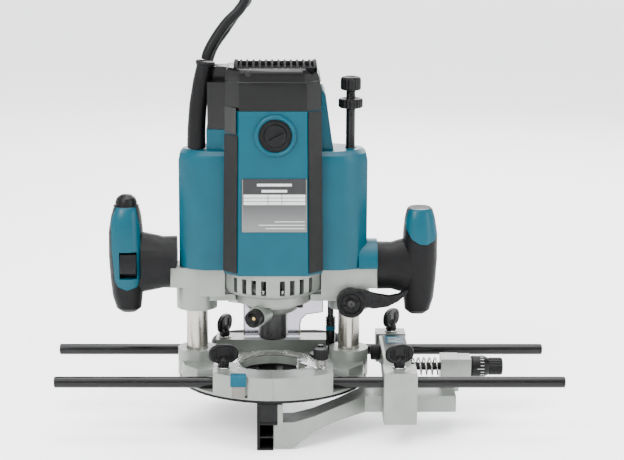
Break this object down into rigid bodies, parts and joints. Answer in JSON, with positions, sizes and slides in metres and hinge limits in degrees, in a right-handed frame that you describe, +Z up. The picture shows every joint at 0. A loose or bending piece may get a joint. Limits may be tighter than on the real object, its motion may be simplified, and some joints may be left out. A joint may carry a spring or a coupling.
{
  "type": "plunge router",
  "caption": "Plunge router with two side handles, a round base, and an edge guide on rods with a fine adjuster.",
  "frame": {"origin": "on the spindle's axis, in the plane of the sole's underside", "axes": "+Z up along the spindle, +X toward the edge guide's adjuster, -Y toward the operator"},
  "size_m": [0.4562, 0.3001, 0.4042],
  "materials": {
    "casting": "fine satin casting",
    "blue_plastic": "satin teal blue",
    "gloss_black": "gloss",
    "black_plastic": "fine matt grain",
    "rubber": "matt, soft",
    "steel": "ground",
    "black_steel": "blackened and polished",
    "carbon": "matt",
    "clear_plastic": "clear, slightly yellow",
    "copper": "turned",
    "plate_metal": "printed plate",
    "blue_metal": "satin"
  },
  "bodies": {
    "base": {"base_casting": "casting", "sole_plate": "black_plastic", "column_left": "steel", "column_right": "steel", "plunge_spring_left": "steel", "plunge_spring_right": "steel", "clear_ring": "clear_plastic", "chip_deflector": "clear_plastic", "cord_hank": "rubber", "plug": "rubber"},
    "head": {"motor_bracket": "casting", "motor_housing": "blue_plastic", "strip_left": "rubber", "strip_right": "rubber", "top_cap": "gloss_black", "air_grille": "black_plastic", "brush_cap_front": "black_plastic", "brush_cap_rear": "black_plastic", "rating_plate": "plate_metal", "cord_guard": "rubber", "left_grip": "rubber", "left_cover": "blue_plastic", "right_grip": "rubber", "right_cover": "blue_plastic", "work_lamp": "black_plastic", "stator": "steel", "brush_front": "carbon", "brush_rear": "carbon", "upper_bearing": "steel", "lower_bearing": "steel", "cord": "rubber"},
    "spindle": {"armature_core": "steel", "armature_shaft": "steel", "commutator": "copper", "fan": "black_plastic", "collet_nut": "black_steel", "collet_cone": "steel"},
    "stop_screw": {"stop_screw": "black_steel"},
    "stop_nut": {"stop_nut": "black_plastic"},
    "turret": {"turret_block": "black_steel"},
    "base_wing_front": {"base_wing_front": "black_plastic"},
    "base_wing_rear": {"base_wing_rear": "black_plastic"},
    "nozzle_knob": {"nozzle_knob": "black_plastic"},
    "template_lock": {"template_lock": "blue_metal"},
    "lock_lever": {"lock_lever": "black_plastic"},
    "shaft_lock": {"shaft_lock_button": "black_plastic"},
    "trigger": {"trigger": "black_plastic"},
    "lock_off": {"lock_off_button": "black_plastic"},
    "stopper_pole": {"stopper_pole": "black_steel"},
    "speed_dial": {"speed_dial": "black_plastic"},
    "rods": {"rod_front": "black_steel", "rod_rear": "black_steel"},
    "holder": {"guide_holder": "casting", "adjust_spring": "steel"},
    "holder_wing_front": {"holder_wing_front": "black_plastic"},
    "holder_wing_rear": {"holder_wing_rear": "black_plastic"},
    "side_knob": {"side_knob": "black_plastic"},
    "fence": {"fence_casting": "casting", "fence_facing": "black_plastic"},
    "adjust_dial": {"adjust_dial": "black_plastic"}
  },
  "joints": [
    {"name": "plunge", "type": "slide", "parent": "base", "child": "head", "axis": [0, 0, 1], "range_m": [-0.032, 0.035], "deforming": ["plunge_spring_left", "plunge_spring_right"]},
    {"name": "spindle_spin", "type": "hinge", "parent": "head", "child": "spindle", "pos_m": [0, 0, 0.06], "axis": [0, 0, 1], "continuous": true},
    {"name": "pole_slide", "type": "slide", "parent": "head", "child": "stopper_pole", "axis": [0, 0, 1], "range_m": [-0.0352, 0.0322]},
    {"name": "stop_screw_turn", "type": "hinge", "parent": "base", "child": "stop_screw", "pos_m": [0.0683, 0, 0.1], "axis": [0, 0, 1], "continuous": true},
    {"name": "stop_nut_travel", "type": "slide", "parent": "base", "child": "stop_nut", "axis": [0, 0, 1], "range_m": [-0.03, 0.007]},
    {"name": "turret_turn", "type": "hinge", "parent": "base", "child": "turret", "pos_m": [0.0452, 0.0205, 0.01], "axis": [0, 0, 1], "continuous": true},
    {"name": "base_wing_front_turn", "type": "hinge", "parent": "base", "child": "base_wing_front", "pos_m": [-0.0435, -0.052, 0.03], "axis": [0, 0, 1], "range_deg": [0, 360]},
    {"name": "base_wing_rear_turn", "type": "hinge", "parent": "base", "child": "base_wing_rear", "pos_m": [-0.045, 0.052, 0.03], "axis": [0, 0, 1], "range_deg": [0, 360]},
    {"name": "nozzle_knob_turn", "type": "hinge", "parent": "base", "child": "nozzle_knob", "pos_m": [0.042, -0.052, 0.035], "axis": [0, 0, 1], "range_deg": [0, 360]},
    {"name": "template_lock_tilt", "type": "hinge", "parent": "base", "child": "template_lock", "pos_m": [-0.03, -0.083, 0.0045], "axis": [1, 0, 0], "range_deg": [0, 12], "stiffness_Nm_per_rad": 0.2},
    {"name": "lock_lever_turn", "type": "hinge", "parent": "head", "child": "lock_lever", "pos_m": [0.069, -0.025, 0.0746], "axis": [0, 1, 0], "range_deg": [0, 25]},
    {"name": "shaft_lock_press", "type": "slide", "parent": "head", "child": "shaft_lock", "axis": [0.3746, 0.9272, 0], "range_m": [0, 0.003], "stiffness_N_per_m": 300},
    {"name": "trigger_press", "type": "hinge", "parent": "head", "child": "trigger", "pos_m": [-0.12875, -0.007, 0.1155], "axis": [1, 0, 0], "range_deg": [0, 10], "stiffness_Nm_per_rad": 0.3},
    {"name": "lock_off_press", "type": "slide", "parent": "head", "child": "lock_off", "axis": [0, 0, -1], "range_m": [0, 0.003], "stiffness_N_per_m": 300},
    {"name": "speed_dial_turn", "type": "hinge", "parent": "head", "child": "speed_dial", "pos_m": [0, 0.04, 0.194], "axis": [1, 0, 0], "range_deg": [-135, 135]},
    {"name": "rods_slide", "type": "slide", "parent": "base", "child": "rods", "axis": [1, 0, 0], "range_m": [-0.002, 0.12]},
    {"name": "holder_slide", "type": "slide", "parent": "rods", "child": "holder", "axis": [1, 0, 0], "range_m": [0, 0.12]},
    {"name": "holder_wing_front_turn", "type": "hinge", "parent": "holder", "child": "holder_wing_front", "pos_m": [0.111, -0.052, 0.03], "axis": [0, 0, 1], "range_deg": [0, 360]},
    {"name": "holder_wing_rear_turn", "type": "hinge", "parent": "holder", "child": "holder_wing_rear", "pos_m": [0.11, 0.052, 0.035], "axis": [0, 0, 1], "range_deg": [0, 360]},
    {"name": "side_knob_turn", "type": "hinge", "parent": "holder", "child": "side_knob", "pos_m": [0.093, 0.012, 0.018], "axis": [1, 0, 0], "range_deg": [0, 360]},
    {"name": "fence_adjust", "type": "slide", "parent": "holder", "child": "fence", "axis": [1, 0, 0], "range_m": [0, 0.01]},
    {"name": "dial_turn", "type": "hinge", "parent": "fence", "child": "adjust_dial", "pos_m": [0.185, -0.008, 0.011], "axis": [1, 0, 0], "range_deg": [0, 1801]}
  ],
  "couplings": [
    {"joint": "pole_slide", "follows": "plunge", "ratio": -1},
    {"joint": "dial_turn", "follows": "fence_adjust", "rad_per_m": 3141.6}
  ]
}
